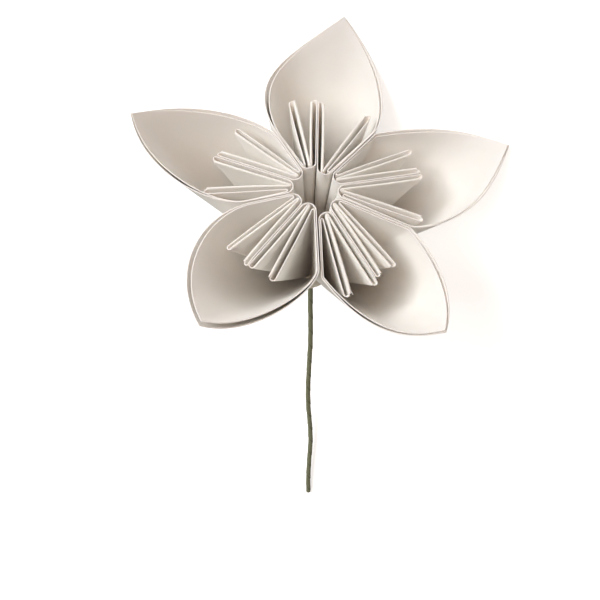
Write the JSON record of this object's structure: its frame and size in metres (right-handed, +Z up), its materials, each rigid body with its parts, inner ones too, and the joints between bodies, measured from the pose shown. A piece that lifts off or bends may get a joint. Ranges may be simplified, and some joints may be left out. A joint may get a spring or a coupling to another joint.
{
  "type": "paper kusudama flower on a wire stem",
  "caption": "Folded white paper flower with cone-shaped petals and inner fins, on a thin tape-wrapped wire stem, lying at rest.",
  "frame": {"origin": "on the floor, under the middle of the part's box", "axes": "+Z up as the flower lies at rest, the flower opens towards -Y and its stem runs back towards +Y"},
  "size_m": [0.0872, 0.149, 0.0722],
  "materials": {
    "paper": "matt, off-white",
    "stem_tape": "matt, olive paper tape over wire",
    "glue": "milky hot glue"
  },
  "bodies": {
    "root": {"petal_top": "paper", "petal_left": "paper", "petal_lower_left": "paper", "petal_lower_right": "paper", "petal_right": "paper", "stem_wire": "stem_tape", "glue_bead": "glue"}
  },
  "joints": []
}
